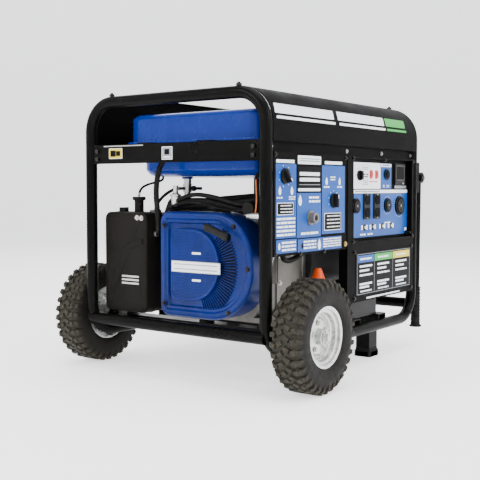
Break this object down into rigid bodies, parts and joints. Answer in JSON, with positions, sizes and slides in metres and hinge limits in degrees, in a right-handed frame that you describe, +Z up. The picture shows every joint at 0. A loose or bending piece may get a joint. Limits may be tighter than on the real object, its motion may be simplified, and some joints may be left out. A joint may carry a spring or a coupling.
{
  "type": "portable generator",
  "caption": "Open-frame portable generator: tube frame on two wheels and feet, fuel tank, engine with alternator, fuel and power panels, folding handles.",
  "frame": {"origin": "on the floor, under the middle of the overall box", "axes": "+X runs from the engine's recoil end to the alternator and handle end, -Y is the side with the control panels, +Z is up"},
  "size_m": [0.813, 0.742, 0.682],
  "materials": {
    "black_frame_paint": "satin powder coat",
    "black_rubber": "matt moulded rubber",
    "plate_print": "satin printed plate",
    "zinc_steel": "zinc plated",
    "galvanised_rim": "galvanised, spangled",
    "tyre_rubber": "matt knobbly tread",
    "black_zinc": "black oxide",
    "panel_black": "satin",
    "black_plastic": "moulded, fine grain",
    "fitting_metal": "machined",
    "red_plastic": "gloss",
    "meter_glass": "gloss window",
    "white_plastic": "gloss",
    "tank_blue": "gloss enamel",
    "engine_casting": "as cast",
    "blower_blue": "satin enamel",
    "forged_steel": "machined",
    "copper_winding": "varnished winding and core",
    "alternator_grey": "satin",
    "exhaust_black": "heat-resistant matt",
    "orange_plastic": "moulded"
  },
  "bodies": {
    "chassis": {"engine_end_hoop": "black_frame_paint", "alternator_end_hoop": "black_frame_paint", "side_rails": "black_frame_paint", "cross_members": "black_frame_paint", "rubber_isolators": "black_rubber", "tank_supports": "black_frame_paint", "front_banner": "black_frame_paint", "rear_banner": "black_frame_paint", "centre_post": "black_frame_paint", "lower_fascia": "black_frame_paint", "spec_plate": "plate_print", "support_legs": "black_frame_paint", "rubber_feet": "black_rubber", "welded_brackets": "black_frame_paint", "axle_hardware": "zinc_steel", "frame_bolts": "black_zinc", "fuel_panel": "panel_black", "gas_inlet": "fitting_metal", "power_panel": "panel_black", "receptacles": "black_plastic", "digital_meter": "meter_glass", "tank_upper_shell": "tank_blue", "tank_lower_shell": "tank_blue", "fuel_valve": "zinc_steel", "fuel_hoses": "black_rubber", "crankcase": "engine_casting", "cylinder_block": "engine_casting", "valve_cover": "black_plastic", "blower_housing": "blower_blue", "recoil_cover": "blower_blue", "alternator_housing": "alternator_grey", "air_cleaner": "black_plastic", "carburettor": "engine_casting", "muffler": "exhaust_black", "battery": "black_plastic"},
    "front_wheel": {"front_rim": "galvanised_rim", "front_tyre": "tyre_rubber"},
    "back_wheel": {"back_rim": "galvanised_rim", "back_tyre": "tyre_rubber"},
    "front_handle": {"front_handle": "black_frame_paint", "front_handle_grip": "black_rubber"},
    "back_handle": {"back_handle": "black_frame_paint", "back_handle_grip": "black_rubber"},
    "fuel_selector": {"fuel_selector_knob": "black_plastic"},
    "fuel_shutoff": {"fuel_shutoff_knob": "black_plastic"},
    "engine_switch": {"engine_switch": "black_plastic"},
    "start_rocker": {"start_rocker": "red_plastic"},
    "idle_rocker": {"idle_rocker": "red_plastic"},
    "breaker_1": {"breaker_button_1": "white_plastic"},
    "breaker_2": {"breaker_button_2": "white_plastic"},
    "breaker_3": {"breaker_button_3": "white_plastic"},
    "breaker_4": {"breaker_button_4": "white_plastic"},
    "fuel_cap": {"fuel_cap": "black_plastic"},
    "valve_lever": {"fuel_valve_lever": "black_plastic"},
    "recoil_grip": {"recoil_grip": "black_plastic"},
    "crank_train": {"crankshaft": "forged_steel", "flywheel_fan": "forged_steel", "alternator_rotor": "copper_winding"},
    "cleaner_knob": {"air_cleaner_knob": "black_plastic"},
    "oil_cap": {"oil_cap": "orange_plastic"}
  },
  "joints": [
    {"name": "front_wheel_spin", "type": "hinge", "parent": "chassis", "child": "front_wheel", "pos_m": [-0.2795, -0.33, 0.127], "axis": [0, 1, 0], "continuous": true},
    {"name": "back_wheel_spin", "type": "hinge", "parent": "chassis", "child": "back_wheel", "pos_m": [-0.2795, 0.33, 0.127], "axis": [0, 1, 0], "continuous": true},
    {"name": "front_handle_fold", "type": "hinge", "parent": "chassis", "child": "front_handle", "pos_m": [0.3915, -0.264, 0.48], "axis": [0, -1, 0], "range_deg": [0, 91]},
    {"name": "back_handle_fold", "type": "hinge", "parent": "chassis", "child": "back_handle", "pos_m": [0.3915, 0.264, 0.48], "axis": [0, -1, 0], "range_deg": [0, 91]},
    {"name": "fuel_selector_turn", "type": "hinge", "parent": "chassis", "child": "fuel_selector", "pos_m": [-0.3105, -0.274, 0.477], "axis": [0, 1, 0], "range_deg": [0, 90]},
    {"name": "fuel_shutoff_turn", "type": "hinge", "parent": "chassis", "child": "fuel_shutoff", "pos_m": [-0.0995, -0.274, 0.421], "axis": [0, 1, 0], "range_deg": [0, 90]},
    {"name": "engine_switch_turn", "type": "hinge", "parent": "chassis", "child": "engine_switch", "pos_m": [0.0515, -0.261, 0.483], "axis": [0, 1, 0], "range_deg": [-60, 60]},
    {"name": "start_rocker_tilt", "type": "hinge", "parent": "chassis", "child": "start_rocker", "pos_m": [0.1135, -0.261, 0.486], "axis": [1, 0, 0], "range_deg": [-8, 8]},
    {"name": "idle_rocker_tilt", "type": "hinge", "parent": "chassis", "child": "idle_rocker", "pos_m": [0.1435, -0.261, 0.486], "axis": [1, 0, 0], "range_deg": [-8, 8]},
    {"name": "breaker_1_press", "type": "slide", "parent": "chassis", "child": "breaker_1", "axis": [0, 1, 0], "range_m": [0, 0.0025], "stiffness_N_per_m": 400},
    {"name": "breaker_2_press", "type": "slide", "parent": "chassis", "child": "breaker_2", "axis": [0, 1, 0], "range_m": [0, 0.0025], "stiffness_N_per_m": 400},
    {"name": "breaker_3_press", "type": "slide", "parent": "chassis", "child": "breaker_3", "axis": [0, 1, 0], "range_m": [0, 0.0025], "stiffness_N_per_m": 400},
    {"name": "breaker_4_press", "type": "slide", "parent": "chassis", "child": "breaker_4", "axis": [0, 1, 0], "range_m": [0, 0.0025], "stiffness_N_per_m": 400},
    {"name": "fuel_cap_turn", "type": "hinge", "parent": "chassis", "child": "fuel_cap", "pos_m": [0.0375, -0.078, 0.634], "axis": [0, 0, 1], "range_deg": [0, 90]},
    {"name": "fuel_valve_turn", "type": "hinge", "parent": "chassis", "child": "valve_lever", "pos_m": [-0.2075, 0.088, 0.45], "axis": [0, 1, 0], "range_deg": [0, 90]},
    {"name": "recoil_pull", "type": "slide", "parent": "chassis", "child": "recoil_grip", "axis": [-1, 0, 0], "range_m": [0, 0.06], "stiffness_N_per_m": 60},
    {"name": "crank_spin", "type": "hinge", "parent": "chassis", "child": "crank_train", "pos_m": [-0.1825, -0.066, 0.276], "axis": [1, 0, 0], "continuous": true},
    {"name": "cleaner_knob_turn", "type": "hinge", "parent": "chassis", "child": "cleaner_knob", "pos_m": [-0.3205, 0.2, 0.392], "axis": [0, 0, 1], "continuous": true},
    {"name": "oil_cap_turn", "type": "hinge", "parent": "chassis", "child": "oil_cap", "pos_m": [-0.0725, -0.216, 0.226], "axis": [0, 0, 1], "continuous": true}
  ]
}
